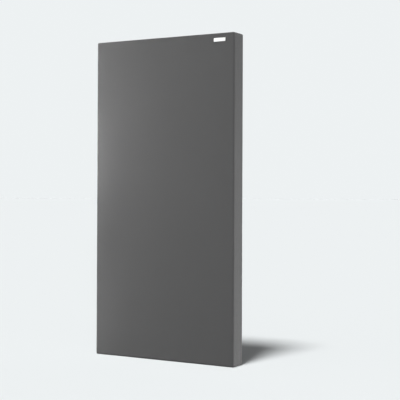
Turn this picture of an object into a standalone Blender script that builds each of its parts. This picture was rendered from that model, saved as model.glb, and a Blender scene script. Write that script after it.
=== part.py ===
# Cloth-wrapped acoustic absorption panel, 600 x 1200 mm, standing upright.
# Metres, +Z up. The front faces -Y, left and right are as seen from the front, and the
# origin is the centre of the bottom face.

import math
from collections import namedtuple

import bmesh
import bpy
from mathutils import Matrix, Vector

# Overall size and the layers, from the front to the back
PANEL_WIDTH = 0.600
PANEL_HEIGHT = 1.200
COVER_THICKNESS = 0.0010
FLEECE_THICKNESS = 0.0015
CORE_THICKNESS = 0.050
CORE_SLACK = 0.0007  # behind the slab, up to the brace
BRACE_THICKNESS = 0.015
BACK_CLOTH_THICKNESS = 0.0006
GAP = 0.0003  # between pieces that touch

# Cover
EDGE_RADIUS = 0.005  # at the front and along the four corners
BACK_EDGE_RADIUS = 0.008
HEM_WIDTH = 0.030  # from the panel's edge to the raw edge on the back
MITRE_WIDTH = 0.0008
MITRE_DEPTH = 0.0004
CLOTH_MARGIN = 0.008  # from the panel's edge to the back cloth's edge
FLEECE_EASE = 0.9  # the round on the fleece's edge, as a share of its thickness

# Frame
STILE_WIDTH = 0.028
RAIL_WIDTH = 0.028
BRACE_WIDTH = 0.070
BRACE_LAP = 0.018  # how far the brace is let into each stile
BLOCK_LEG = 0.060
BLOCK_BLUNT = 0.008  # what is cut off each tip of a corner block
FRAME_SCREW_SPREAD = 0.028  # between the two screws of a corner joint
BRACE_SCREW_SPREAD = 0.040

# Screws: radius of the shank and of the head, and length
Screw = namedtuple("Screw", "shank head length")
FRAME_SCREW = Screw(shank=0.00225, head=0.0043, length=0.070)
BRACE_SCREW = Screw(shank=0.00175, head=0.0034, length=0.025)
PAN_SCREW = Screw(shank=0.0020, head=0.0038, length=0.025)
PAN_HEAD_HEIGHT = 0.0024
PAN_HEAD_FULLNESS = 0.7  # 1 is an ellipse, and less is squarer
SINK_RIM = 0.0004  # the straight edge of a countersunk head
SCREW_POINT = 0.006
RECESS_SPAN = 1.15  # of the head's radius
RECESS_SLOT = 0.0010
RECESS_DEPTH = 0.0015
RECESS_TAPER = 0.35  # width at the bottom, as a share of the width at the top

# Hanger: a strap folded round the straight bar of a wire ring
HANGER_DROP = 0.150  # from the top of the panel to the ring's axis
STRAP_WIDTH = 0.012
STRAP_THICKNESS = 0.0010
STRAP_LAYER_GAP = 0.0002
STRAP_NECK_ANGLE = math.radians(60)  # past square, where the eye closes onto the strap
STRAP_FOOT = 0.007  # from the last screw to the rounded end
RING_WIRE_RADIUS = 0.00125
RING_REACH = 0.0145  # from the axis to the middle of the bow's wire
RING_CORNER_RADIUS = 0.0025
RING_SIDE_CLEARANCE = 0.0012
EYE_CLEARANCE = 0.00045
HEAD_CLEARANCE = 0.0025  # from the ring at rest to the first screw's head
HANGER_SCREW_PITCH = 0.016

# Wall bumpers
BUMPER_RADIUS = 0.010
BUMPER_TAPER = 0.0010  # how much narrower the top is
BUMPER_ROUND = 0.0012
BUMPER_FLOOR = 0.003  # rubber under the screw's head
BUMPER_PROUD = 0.0013  # past the thickest part of a hanger
BUMPER_BORE_CLEARANCE = 0.0006
BUMPER_INSET = 0.045  # from the panel's top and bottom

# Badge
BADGE_WIDTH = 0.0475
BADGE_HEIGHT = 0.013
BADGE_THICKNESS = 0.0010
BADGE_CORNER = 0.0012
BADGE_EASE = 0.00025
BADGE_FROM_SIDE = 0.0365
BADGE_FROM_TOP = 0.018
BADGE_PAD_THICKNESS = 0.0004
BADGE_PAD_MARGIN = 0.0015

# Facets
EDGE_SEGMENTS = 4
TURN_STEPS = 20
SCREW_STEPS = 12
EYE_STEPS = 14
NECK_STEPS = 4
FOOT_STEPS = 10
BOW_STEPS = 14
CORNER_STEPS = 4
DOME_STEPS = 4

# Places that follow from the sizes
FRAME_DEPTH = CORE_THICKNESS + CORE_SLACK + BRACE_THICKNESS
PANEL_DEPTH = 2 * COVER_THICKNESS + FLEECE_THICKNESS + FRAME_DEPTH + BACK_CLOTH_THICKNESS + 4 * GAP
FRONT = -PANEL_DEPTH / 2
BACK = PANEL_DEPTH / 2
FLEECE_FRONT = FRONT + COVER_THICKNESS + GAP
FRAME_FRONT = FLEECE_FRONT + FLEECE_THICKNESS + GAP
FRAME_BACK = FRAME_FRONT + FRAME_DEPTH
CLOTH_FRONT = FRAME_BACK + GAP
FRAME_X = PANEL_WIDTH / 2 - COVER_THICKNESS - GAP
FRAME_LOW = COVER_THICKNESS + GAP
FRAME_HIGH = PANEL_HEIGHT - FRAME_LOW
MIDDLE = PANEL_HEIGHT / 2
STILE_INNER = FRAME_X - STILE_WIDTH
STILE_CENTRE = FRAME_X - STILE_WIDTH / 2
RAIL_INNER = FRAME_HIGH - RAIL_WIDTH - MIDDLE  # from the panel's middle
PAST = 0.005  # how far a cutter runs past what it cuts

EYE_RADIUS = RING_WIRE_RADIUS + EYE_CLEARANCE
EYE_OUTER = EYE_RADIUS + STRAP_THICKNESS
STRAP_SURFACE = BACK + GAP + 2 * STRAP_THICKNESS + STRAP_LAYER_GAP
RING_AXIS_Y = BACK + GAP + EYE_OUTER
RING_AXIS_Z = PANEL_HEIGHT - HANGER_DROP
RING_HALF = STRAP_WIDTH / 2 + RING_SIDE_CLEARANCE + RING_WIRE_RADIUS
FIRST_SCREW = RING_REACH + RING_WIRE_RADIUS + HEAD_CLEARANCE + PAN_SCREW.head
HANGER_SCREWS = {"upper": FIRST_SCREW, "lower": FIRST_SCREW + HANGER_SCREW_PITCH}
STRAP_LENGTH = HANGER_SCREWS["lower"] + STRAP_FOOT
RING_CROSSING = RING_REACH - RING_HALF + math.sqrt(RING_HALF**2 - (STRAP_WIDTH / 2) ** 2)
RING_REST = math.asin((STRAP_SURFACE + GAP + RING_WIRE_RADIUS - RING_AXIS_Y) / RING_CROSSING)
RING_FLAT = math.asin((RING_AXIS_Y - BACK - GAP - RING_WIRE_RADIUS) / RING_REACH)
RING_TRAVEL = math.pi - RING_REST + RING_FLAT
BUMPER_HEIGHT = 2 * EYE_OUTER + GAP + BUMPER_PROUD
BUMPER_X = PANEL_WIDTH / 2 - BACK_EDGE_RADIUS - BUMPER_RADIUS

SIDES = {"left": -1, "right": 1}
LEVELS = {"bottom": -1, "top": 1}

# Linear colour, roughness and metallic value of each finish
FINISHES = {
    "grey_cloth": ((0.115, 0.115, 0.117), 0.95, 0.0),
    "white_fleece": ((0.72, 0.72, 0.70), 0.95, 0.0),
    "mineral_slab": ((0.33, 0.31, 0.16), 0.95, 0.0),
    "pine": ((0.62, 0.43, 0.24), 0.62, 0.0),
    "plywood": ((0.56, 0.38, 0.21), 0.65, 0.0),
    "black_nonwoven": ((0.012, 0.012, 0.013), 0.92, 0.0),
    "zinc_plate": ((0.62, 0.63, 0.65), 0.32, 1.0),
    "yellow_zinc": ((0.70, 0.55, 0.24), 0.34, 1.0),
    "black_rubber": ((0.016, 0.016, 0.016), 0.80, 0.0),
    "white_plastic": ((0.86, 0.86, 0.86), 0.35, 0.0),
    "foam_tape": ((0.50, 0.50, 0.50), 0.90, 0.0),
}


# Scene and materials
def clear_scene():
    for old in list(bpy.data.objects):
        bpy.data.objects.remove(old, do_unlink=True)


def new_collection(name):
    made = bpy.data.collections.new(name)
    bpy.context.scene.collection.children.link(made)
    return made


def new_material(name, colour, roughness, metallic):
    made = bpy.data.materials.new(name)
    made.use_nodes = True
    shader = made.node_tree.nodes["Principled BSDF"]
    shader.inputs["Base Color"].default_value = (*colour, 1.0)
    shader.inputs["Roughness"].default_value = roughness
    shader.inputs["Metallic"].default_value = metallic
    made.diffuse_color = (*colour, 1.0)
    return made


clear_scene()
PIECES = new_collection("acoustic_absorption_panel")
CUTTERS = new_collection("cutters")
MATERIALS = {name: new_material(name, *look) for name, look in FINISHES.items()}


# Objects
def add_object(name, data, finish=None, location=(0, 0, 0), rotation=(0, 0, 0)):
    """An object in the panel's collection or, where it has no finish, among the cutters."""
    made = bpy.data.objects.new(name, data)
    made.location = location
    made.rotation_euler = rotation
    if finish is None:
        CUTTERS.objects.link(made)
        made.hide_render = True
        made.display_type = "WIRE"
    else:
        PIECES.objects.link(made)
        if not data.materials:
            data.materials.append(MATERIALS[finish])
    return made


def box_between(name, low, high, finish=None):
    """A block from its lowest to its highest corner, with its origin in its middle."""
    low, high = Vector(low), Vector(high)
    mesh = bpy.data.meshes.new(name)
    form = bmesh.new()
    bmesh.ops.create_cube(form, size=1.0, matrix=Matrix.Diagonal((*(high - low), 1.0)))
    form.to_mesh(mesh)
    form.free()
    return add_object(name, mesh, finish, (low + high) / 2)


def bevel_edges(obj, wanted, width, segments):
    """Rounds the edges for which wanted(first end, second end) holds, in the object's own axes."""
    form = bmesh.new()
    form.from_mesh(obj.data)
    edges = [e for e in form.edges if wanted(e.verts[0].co, e.verts[1].co)]
    bmesh.ops.bevel(form, geom=edges, offset=width, segments=segments, profile=0.5, affect="EDGES")
    form.to_mesh(obj.data)
    form.free()


def baked(obj):
    """The evaluated mesh of a helper, which is then removed, with its caps welded and its faces out."""
    bpy.context.view_layer.update()
    graph = bpy.context.evaluated_depsgraph_get()
    mesh = bpy.data.meshes.new_from_object(obj.evaluated_get(graph))
    form = bmesh.new()
    form.from_mesh(mesh)
    bmesh.ops.remove_doubles(form, verts=form.verts, dist=1e-6)
    bmesh.ops.recalc_face_normals(form, faces=form.faces)
    form.to_mesh(mesh)
    form.free()
    mesh.name = obj.name
    bpy.data.objects.remove(obj, do_unlink=True)
    return mesh


def smooth(mesh, angle=35):
    mesh.shade_smooth()
    mesh.set_sharp_from_angle(angle=math.radians(angle))
    return mesh


def rounded_box(name, low, high, front, back, finish=None):
    """A block with its edges rounded, those at its back to a radius of their own."""
    form = box_between(name, low, high)
    share = form.data.attributes.new("bevel_weight_edge", "FLOAT", "EDGE")
    for edge in form.data.edges:
        behind = all(form.data.vertices[end].co.y > 0 for end in edge.vertices)
        share.data[edge.index].value = 1 if behind else front / back
    rounding = form.modifiers.new("rounding", "BEVEL")
    rounding.limit_method = "WEIGHT"
    rounding.width = back
    rounding.segments = EDGE_SEGMENTS
    return add_object(name, baked(form), finish, (Vector(low) + Vector(high)) / 2)


def outline_mesh(name, points, thickness):
    """A flat outline, made as thick as given about its own XY plane."""
    curve = bpy.data.curves.new(name, "CURVE")
    curve.dimensions = "2D"
    curve.fill_mode = "BOTH"
    curve.extrude = thickness / 2
    line = curve.splines.new("POLY")
    line.points.add(len(points) - 1)
    for knot, (x, y) in zip(line.points, points):
        knot.co = (x, y, 0, 1)
    line.use_cyclic_u = True
    return baked(add_object(name, curve))


def turned_mesh(name, profile, steps, closed=False):
    """A profile of (radius, height) that runs down its outer side, turned about Z."""
    mesh = bpy.data.meshes.new(name)
    edges = [(i, i + 1) for i in range(len(profile) - 1)]
    if closed:
        edges.append((len(profile) - 1, 0))
    mesh.from_pydata([(r, 0, z) for r, z in profile], edges, [])
    shape = add_object(name, mesh)
    turn = shape.modifiers.new("turn", "SCREW")
    turn.steps = steps
    turn.render_steps = steps
    turn.use_merge_vertices = True
    turn.merge_threshold = 1e-6
    return smooth(baked(shape))


def keep_inside(obj, form):
    """Trims a piece to a closed form."""
    trim = obj.modifiers.new("trim", "BOOLEAN")
    trim.operation = "INTERSECT"
    trim.object = form


def cut(obj, cutter):
    """Takes a cutter out of a piece. All cutters of a piece are taken out in one step."""
    name = f"{obj.name}_cuts"
    if name not in bpy.data.collections:
        CUTTERS.children.link(bpy.data.collections.new(name))
        step = obj.modifiers.new("cuts", "BOOLEAN")
        step.operand_type = "COLLECTION"
        step.collection = bpy.data.collections[name]
    bpy.data.collections[name].objects.link(cutter)


def arc(centre, radius, start, end, steps):
    """Points on an arc, from one angle to another, both ends included."""
    angles = [start + (end - start) * i / steps for i in range(steps + 1)]
    return [(centre[0] + radius * math.cos(a), centre[1] + radius * math.sin(a)) for a in angles]


# Screws
def sunk_profile(size):
    """A countersunk screw with its head's face at Z 0."""
    profile = [(0, 0), (size.head, 0), (size.head, -SINK_RIM)]
    profile.append((size.shank, size.shank - size.head - SINK_RIM))
    return profile + [(size.shank, SCREW_POINT - size.length), (0, -size.length)]


def sunk_hole_profile(size):
    """Its drilled and countersunk hole, open at the head's face."""
    head, shank, bottom = size.head + GAP, size.shank + GAP, -size.length - GAP
    profile = [(0, PAST), (head, PAST), (head, -SINK_RIM), (shank, shank - head - SINK_RIM)]
    return profile + [(shank, bottom), (0, bottom)]


def pan_profile(size):
    """A pan-head screw with the underside of its head at Z 0."""
    turns = [math.pi / 2 * i / DOME_STEPS for i in range(DOME_STEPS)]
    profile = [(0, PAN_HEAD_HEIGHT)]
    for t in turns[1:]:
        across, up = math.sin(t) ** PAN_HEAD_FULLNESS, math.cos(t) ** PAN_HEAD_FULLNESS
        profile.append((size.head * across, PAN_HEAD_HEIGHT * up))
    profile += [(size.head, 0), (size.shank, 0)]
    return profile + [(size.shank, SCREW_POINT - size.length), (0, -size.length)]


def pan_hole_profile(size):
    """Its hole, through what lies under the head."""
    shank, bottom = size.shank + GAP, -size.length - GAP
    return [(0, PAST), (shank, PAST), (shank, bottom), (0, bottom)]


def cut_recess(shape, size, top):
    """The cross for the driver: two blades that narrow towards the bottom."""
    half, slot = RECESS_SPAN * size.head / 2, RECESS_SLOT / 2
    for turn in (0, math.pi / 2):
        blade = box_between("recess", (-half, -slot, top - RECESS_DEPTH), (half, slot, top + GAP))
        for corner in blade.data.vertices:
            if corner.co.z < 0:
                corner.co.x *= RECESS_TAPER
        blade.rotation_euler = (0, 0, turn)
        cut(shape, blade)


def screw_mesh(name, profile, size, top):
    turned = add_object(name, turned_mesh(name, profile, SCREW_STEPS))
    cut_recess(turned, size, top)
    return smooth(baked(turned))


def countersunk_screws(kind, size, seats, pieces):
    """Screws at seats of (name, place, rotation), and a hole for each in the pieces that it passes."""
    mesh = screw_mesh(kind, sunk_profile(size), size, 0)
    hole_mesh = turned_mesh(kind + "_hole", sunk_hole_profile(size), SCREW_STEPS)
    for name, place, rotation in seats:
        add_object(name, mesh, "yellow_zinc", place, rotation)
        hole = add_object(name + "_hole", hole_mesh, None, place, rotation)
        for piece in pieces(place):
            cut(piece, hole)


OUTWARDS = {-1: (0, -math.pi / 2, 0), 1: (0, math.pi / 2, 0)}
BACKWARDS = (-math.pi / 2, 0, 0)


# Frame
def member(name, low, high, envelope):
    """A timber of the frame, planed to the rounded outer form of the whole frame."""
    timber = box_between(name, low, high, "pine")
    keep_inside(timber, envelope)
    return timber


def build_frame():
    low, high = (-FRAME_X, FRAME_FRONT, FRAME_LOW), (FRAME_X, FRAME_BACK, FRAME_HIGH)
    rounds = EDGE_RADIUS - FRAME_LOW, BACK_EDGE_RADIUS - FRAME_LOW
    envelope = rounded_box("frame_form", low, high, *rounds)
    front, back = FRAME_FRONT - PAST, FRAME_BACK + PAST
    stiles = {}
    rails = {}
    for side, s in SIDES.items():
        inner, outer = sorted((s * STILE_INNER, s * (FRAME_X + PAST)))
        low, high = (inner, front, FRAME_LOW - PAST), (outer, back, FRAME_HIGH + PAST)
        stiles[s] = member(f"{side}_stile", low, high, envelope)
    for level, s in LEVELS.items():
        near, far = sorted((MIDDLE + s * RAIL_INNER, MIDDLE + s * (RAIL_INNER + RAIL_WIDTH + PAST)))
        low, high = (GAP - STILE_INNER, front, near), (STILE_INNER - GAP, back, far)
        rails[s] = member(f"{level}_rail", low, high, envelope)
    return stiles, rails


def screw_frame(stiles, rails):
    """Two screws through each end of each stile, into the end of the rail."""
    centre = (FRAME_FRONT + FRAME_BACK) / 2
    seats = []
    for side, sx in SIDES.items():
        for level, sz in LEVELS.items():
            height = MIDDLE + sz * (RAIL_INNER + RAIL_WIDTH / 2)
            for place, sy in (("front", -1), ("back", 1)):
                name = f"frame_screw_{level}_{side}_{place}"
                point = (sx * FRAME_X, centre + sy * FRAME_SCREW_SPREAD / 2, height)
                seats.append((name, point, OUTWARDS[sx]))

    def passed(place):
        return stiles[1 if place[0] > 0 else -1], rails[1 if place[2] > MIDDLE else -1]

    countersunk_screws("frame_screw", FRAME_SCREW, seats, passed)


def build_brace(stiles):
    """The bar across the back, let into both stiles and screwed there."""
    end = STILE_INNER + BRACE_LAP
    front = FRAME_BACK - BRACE_THICKNESS
    half = BRACE_WIDTH / 2
    low, high = (-end, front, MIDDLE - half), (end, FRAME_BACK, MIDDLE + half)
    brace = box_between("cross_brace", low, high, "plywood")
    low = (-end - GAP, front - GAP, MIDDLE - half - GAP)
    notch = box_between("brace_notch", low, (end + GAP, FRAME_BACK + PAST, MIDDLE + half + GAP))
    seats = []
    for side, sx in SIDES.items():
        cut(stiles[sx], notch)
        for level, sz in LEVELS.items():
            place = (sx * (end - BRACE_LAP / 2), FRAME_BACK, MIDDLE + sz * BRACE_SCREW_SPREAD / 2)
            seats.append((f"brace_screw_{level}_{side}", place, BACKWARDS))

    def passed(place):
        return brace, stiles[1 if place[0] > 0 else -1]

    countersunk_screws("brace_screw", BRACE_SCREW, seats, passed)


def build_corner_blocks():
    """A blunt-cornered triangle in each corner, flush with the frame's back."""
    near, tip, far = GAP, GAP + BLOCK_BLUNT, GAP + BLOCK_LEG
    outline = [(tip, near), (far, near), (far, tip), (tip, far), (near, far), (near, tip)]
    for side, sx in SIDES.items():
        for level, sz in LEVELS.items():
            name = f"corner_block_{level}_{side}"
            points = [(sx * (STILE_INNER - u), MIDDLE + sz * (RAIL_INNER - v)) for u, v in outline]
            mesh = outline_mesh(name, points, BRACE_THICKNESS)
            place = (0, FRAME_BACK - BRACE_THICKNESS / 2, 0)
            add_object(name, mesh, "plywood", place, (math.pi / 2, 0, 0))


# Filling and cloths
def build_core():
    half = STILE_INNER - GAP
    low = (-half, FRAME_FRONT, MIDDLE - RAIL_INNER + GAP)
    high = (half, FRAME_FRONT + CORE_THICKNESS, MIDDLE + RAIL_INNER - GAP)
    box_between("core_slab", low, high, "mineral_slab")


def build_fleece():
    """The fleece ends where the cover starts to turn, with its front edge pressed round."""
    ease = FLEECE_EASE * FLEECE_THICKNESS
    margin = EDGE_RADIUS - ease
    half = PANEL_WIDTH / 2 - margin
    high = (half, FLEECE_FRONT + FLEECE_THICKNESS, PANEL_HEIGHT - margin)
    fleece = box_between("fleece_liner", (-half, FLEECE_FRONT, margin), high, "white_fleece")
    bevel_edges(fleece, lambda a, b: a.y < 0 and b.y < 0, ease, EDGE_SEGMENTS - 1)


def build_cover():
    """The wrap: front, four edges and a hem on the back, mitred at the corners."""
    low, high = (-PANEL_WIDTH / 2, FRONT, 0), (PANEL_WIDTH / 2, BACK, PANEL_HEIGHT)
    cover = rounded_box("fabric_cover", low, high, EDGE_RADIUS, BACK_EDGE_RADIUS, "grey_cloth")
    form = bmesh.new()
    form.from_mesh(cover.data)
    back = max((f for f in form.faces if f.normal.y > 0.99), key=lambda f: f.calc_area())
    flat = HEM_WIDTH - BACK_EDGE_RADIUS
    bmesh.ops.inset_individual(form, faces=[back], thickness=flat, use_even_offset=True)
    bmesh.ops.delete(form, geom=[back], context="FACES")
    form.to_mesh(cover.data)
    form.free()
    wall = cover.modifiers.new("cloth", "SOLIDIFY")
    wall.thickness = COVER_THICKNESS
    wall.offset = -1
    wall.use_even_offset = True
    run = math.sqrt(2) * HEM_WIDTH + 2 * PAST
    low = (-run / 2, -MITRE_DEPTH, -MITRE_WIDTH / 2)
    for side, sx in SIDES.items():
        for level, sz in LEVELS.items():
            fold = box_between(f"mitre_{level}_{side}", low, (run / 2, PAST, MITRE_WIDTH / 2))
            x = sx * (PANEL_WIDTH / 2 - HEM_WIDTH / 2)
            z = MIDDLE + sz * (PANEL_HEIGHT / 2 - HEM_WIDTH / 2)
            turn = Matrix.Rotation(-sx * sz * math.pi / 4, 4, "Y")
            fold.matrix_world = Matrix.Translation((x, BACK, z)) @ turn @ Matrix.Translation(fold.location)
            cut(cover, fold)
    return cover


def build_back_cloth():
    half = PANEL_WIDTH / 2 - CLOTH_MARGIN
    high = (half, CLOTH_FRONT + BACK_CLOTH_THICKNESS, PANEL_HEIGHT - CLOTH_MARGIN)
    return box_between("back_cloth", (-half, CLOTH_FRONT, CLOTH_MARGIN), high, "black_nonwoven")


# Hangers
def strap_line():
    """The middle of the folded strip, as (out, up) from the ring's axis: up the inner layer, round
    the eye, back in through the neck and down the outer layer."""
    radius = EYE_RADIUS + STRAP_THICKNESS / 2
    outer = STRAP_THICKNESS + STRAP_LAYER_GAP - radius
    neck = STRAP_NECK_ANGLE
    straight = (2 * radius * math.cos(neck) - radius - outer) / math.sin(neck)
    leave = (radius * math.cos(neck), -radius * math.sin(neck))
    bend = (leave[0] - straight * math.sin(neck), leave[1] - straight * math.cos(neck))
    centre = (bend[0] + radius * math.cos(neck), bend[1] - radius * math.sin(neck))
    points = [(-radius, -STRAP_LENGTH)]
    points += arc((0, 0), radius, math.pi, -neck, EYE_STEPS)
    points += arc(centre, radius, math.pi - neck, math.pi, NECK_STEPS)
    points.append((outer, -STRAP_LENGTH))
    return points


def strip_outline(line, thickness):
    """Both sides of a strip, from its middle line."""
    left, right = [], []
    for i, point in enumerate(line):
        before = Vector(line[max(i - 1, 0)])
        after = Vector(line[min(i + 1, len(line) - 1)])
        along = Vector(point) - before
        ahead = after - Vector(point)
        run = (along.normalized() + ahead.normalized()).normalized()
        side = Vector((-run.y, run.x)) * thickness / 2
        lean = run.dot((ahead if ahead.length else along).normalized())
        left.append(Vector(point) + side / lean)
        right.append(Vector(point) - side / lean)
    return [tuple(p) for p in left + right[::-1]]


def strap_mesh(hole_form):
    """The folded strip, trimmed to its width and to a round foot, with its screw holes."""
    outline = strip_outline(strap_line(), STRAP_THICKNESS)
    folded = outline_mesh("hanger_strap", outline, STRAP_WIDTH + 2 * PAST)
    folded.transform(Matrix(((0, 0, 1, 0), (1, 0, 0, 0), (0, 1, 0, 0), (0, 0, 0, 1))))
    strap = add_object("hanger_strap", folded)
    half = STRAP_WIDTH / 2
    plan = arc((0, half - STRAP_LENGTH), half, math.pi, 2 * math.pi, FOOT_STEPS)
    plan += [(half, PAST), (-half, PAST)]
    trim = add_object("strap_plan", outline_mesh("strap_plan", plan, 4 * EYE_OUTER))
    trim.rotation_euler = (math.pi / 2, 0, 0)
    keep_inside(strap, trim)
    for place, drop in HANGER_SCREWS.items():
        seat = (0, STRAP_SURFACE + GAP - RING_AXIS_Y, -drop)
        cut(strap, add_object(f"strap_hole_{place}", hole_form, None, seat, BACKWARDS))
    return smooth(baked(strap))


def ring_line():
    """The wire's middle line: a straight bar on the axis, two short legs and a round bow below."""
    inner = RING_HALF - RING_CORNER_RADIUS
    bow = RING_HALF - RING_REACH
    points = arc((inner, -RING_CORNER_RADIUS), RING_CORNER_RADIUS, math.pi / 2, 0, CORNER_STEPS)
    points += arc((0, bow), RING_HALF, 0, -math.pi, BOW_STEPS)
    points += arc((-inner, -RING_CORNER_RADIUS), RING_CORNER_RADIUS, math.pi, math.pi / 2, CORNER_STEPS)
    return points


def ring_curve():
    curve = bpy.data.curves.new("ring_wire", "CURVE")
    curve.dimensions = "3D"
    curve.bevel_depth = RING_WIRE_RADIUS
    curve.bevel_resolution = 3
    wire = curve.splines.new("POLY")
    points = ring_line()
    wire.points.add(len(points) - 1)
    for knot, (x, z) in zip(wire.points, points):
        knot.co = (x, 0, z, 1)
    wire.use_cyclic_u = True
    return curve


def pan_screw_forms():
    """The screw that holds hangers and bumpers, and the hole for it."""
    screw = screw_mesh("pan_screw", pan_profile(PAN_SCREW), PAN_SCREW, PAN_HEAD_HEIGHT)
    return screw, turned_mesh("pan_screw_hole", pan_hole_profile(PAN_SCREW), SCREW_STEPS)


def pan_screw(name, forms, seat, pieces):
    """A pan-head screw from behind, and its hole through the pieces that it holds."""
    screw_form, hole_form = forms
    add_object(name, screw_form, "zinc_plate", seat, BACKWARDS)
    hole = add_object(name + "_hole", hole_form, None, seat, BACKWARDS)
    for piece in pieces:
        cut(piece, hole)


def build_hangers(forms, stiles, hem_pieces):
    strap_form = strap_mesh(forms[1])
    ring_form = ring_curve()
    for side, sx in SIDES.items():
        axis = (sx * STILE_CENTRE, RING_AXIS_Y, RING_AXIS_Z)
        add_object(f"{side}_hanger_strap", strap_form, "zinc_plate", axis)
        add_object(f"{side}_ring", ring_form, "zinc_plate", axis, (RING_REST, 0, 0))
        for place, drop in HANGER_SCREWS.items():
            seat = (axis[0], STRAP_SURFACE + GAP, RING_AXIS_Z - drop)
            pan_screw(f"hanger_screw_{side}_{place}", forms, seat, [stiles[sx], *hem_pieces])


# Wall bumpers
def bumper_mesh():
    """A rubber ring that narrows to a rounded top, with the screw's head sunk in its middle."""
    top = BUMPER_RADIUS - BUMPER_TAPER
    bore = PAN_SCREW.shank + GAP
    well = PAN_SCREW.head + BUMPER_BORE_CLEARANCE
    shoulder = (top - BUMPER_ROUND, BUMPER_HEIGHT - BUMPER_ROUND)
    profile = arc(shoulder, BUMPER_ROUND, math.pi / 2, 0, CORNER_STEPS)
    profile += [(BUMPER_RADIUS, 0), (bore, 0), (bore, BUMPER_FLOOR), (well, BUMPER_FLOOR)]
    profile += [(well, BUMPER_HEIGHT - BUMPER_ROUND / 2), (well + BUMPER_ROUND / 2, BUMPER_HEIGHT)]
    return turned_mesh("wall_bumper", profile, TURN_STEPS, closed=True)


def build_bumpers(forms, stiles, hem_pieces):
    form = bumper_mesh()
    for side, sx in SIDES.items():
        for level, sz in LEVELS.items():
            x, z = sx * BUMPER_X, MIDDLE + sz * (MIDDLE - BUMPER_INSET)
            add_object(f"wall_bumper_{level}_{side}", form, "black_rubber", (x, BACK + GAP, z), BACKWARDS)
            seat = (x, BACK + 2 * GAP + BUMPER_FLOOR, z)
            pan_screw(f"bumper_screw_{level}_{side}", forms, seat, [stiles[sx], *hem_pieces])


# Badge
def plate(name, margin, back, thickness, finish):
    """A thin upright plate in the badge's place, smaller by a margin, with round corners."""
    right = PANEL_WIDTH / 2 - BADGE_FROM_SIDE
    top = PANEL_HEIGHT - BADGE_FROM_TOP
    low = (right - BADGE_WIDTH + margin, back - thickness, top - BADGE_HEIGHT + margin)
    made = box_between(name, low, (right - margin, back, top - margin), finish)
    bevel_edges(made, lambda a, b: abs(a.y - b.y) > thickness / 2, BADGE_CORNER, EDGE_SEGMENTS)
    return made


def build_badge():
    plate("badge_pad", BADGE_PAD_MARGIN, FRONT - GAP, BADGE_PAD_THICKNESS, "foam_tape")
    badge = plate("badge", 0, FRONT - 2 * GAP - BADGE_PAD_THICKNESS, BADGE_THICKNESS, "white_plastic")
    bevel_edges(badge, lambda a, b: a.y < 0 and b.y < 0, BADGE_EASE, 2)


stiles, rails = build_frame()
screw_frame(stiles, rails)
build_brace(stiles)
build_corner_blocks()
build_core()
build_fleece()
hem_pieces = [build_cover(), build_back_cloth()]
pan_forms = pan_screw_forms()
build_hangers(pan_forms, stiles, hem_pieces)
build_bumpers(pan_forms, stiles, hem_pieces)
build_badge()

print(f"panel {PANEL_WIDTH * 1000:.0f} x {PANEL_HEIGHT * 1000:.0f} x {PANEL_DEPTH * 1000:.1f} mm")
print(f"ring axis y {RING_AXIS_Y * 1000:.3f}, z {RING_AXIS_Z * 1000:.1f} mm, x {STILE_CENTRE * 1000:.2f} mm")
print(f"ring travel {math.degrees(RING_TRAVEL):.2f} degrees, {math.degrees(RING_REST):.2f} out at rest")
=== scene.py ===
import math
import random
import bmesh
import bpy
from mathutils import Matrix, Vector


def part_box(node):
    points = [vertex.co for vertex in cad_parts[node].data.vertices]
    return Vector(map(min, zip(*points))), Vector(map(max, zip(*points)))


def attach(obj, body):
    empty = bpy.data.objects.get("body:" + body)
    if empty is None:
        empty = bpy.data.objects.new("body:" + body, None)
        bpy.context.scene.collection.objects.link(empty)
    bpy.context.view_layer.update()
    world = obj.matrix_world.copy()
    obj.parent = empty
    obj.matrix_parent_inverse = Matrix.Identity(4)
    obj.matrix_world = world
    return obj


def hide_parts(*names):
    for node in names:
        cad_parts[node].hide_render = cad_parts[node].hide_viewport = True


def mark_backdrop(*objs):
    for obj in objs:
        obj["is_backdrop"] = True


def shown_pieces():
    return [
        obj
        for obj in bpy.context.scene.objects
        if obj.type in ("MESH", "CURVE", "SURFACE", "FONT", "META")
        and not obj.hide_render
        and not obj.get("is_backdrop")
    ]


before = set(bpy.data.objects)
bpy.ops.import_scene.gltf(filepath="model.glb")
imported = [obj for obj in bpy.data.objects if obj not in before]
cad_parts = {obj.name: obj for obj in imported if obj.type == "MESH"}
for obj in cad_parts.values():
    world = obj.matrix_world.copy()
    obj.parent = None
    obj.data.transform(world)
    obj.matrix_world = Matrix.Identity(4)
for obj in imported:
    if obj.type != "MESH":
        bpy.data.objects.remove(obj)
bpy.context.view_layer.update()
bpy.ops.object.select_all(action="DESELECT")

# Sizes that several pieces share
back = 0.0355            # half the panel's depth
halfWidth = 0.300
halfHeight = 0.600       # and so the height of its middle
bumperAt = 0.282, 0.555  # from the middle of the back, to the side and up

# Camera, at the photo's viewing angle
view = {
    "place": (2.0065, -3.2497, 0.6390),
    "turn": 29.878,    # degrees, to the left
    "tilt": 0.487,
    "roll": 0.22,
    "lens": 91.70,    # mm on a 36 mm sensor
    "shift": -0.0506,    # share of the frame, up
}


def addCamera():
    turn = Matrix.Rotation(math.radians(view["turn"]), 4, "Z")
    tilt = Matrix.Rotation(math.radians(90 + view["tilt"]), 4, "X")
    roll = Matrix.Rotation(math.radians(view["roll"]), 4, "Z")
    bpy.ops.object.camera_add()
    camera = bpy.context.object
    camera.matrix_world = Matrix.Translation(view["place"]) @ turn @ tilt @ roll
    camera.data.lens = view["lens"]
    camera.data.sensor_width = 36
    camera.data.shift_y = view["shift"]
    camera.data.clip_end = 200
    bpy.context.scene.camera = camera


addCamera()
print("camera at", view["place"])

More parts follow.
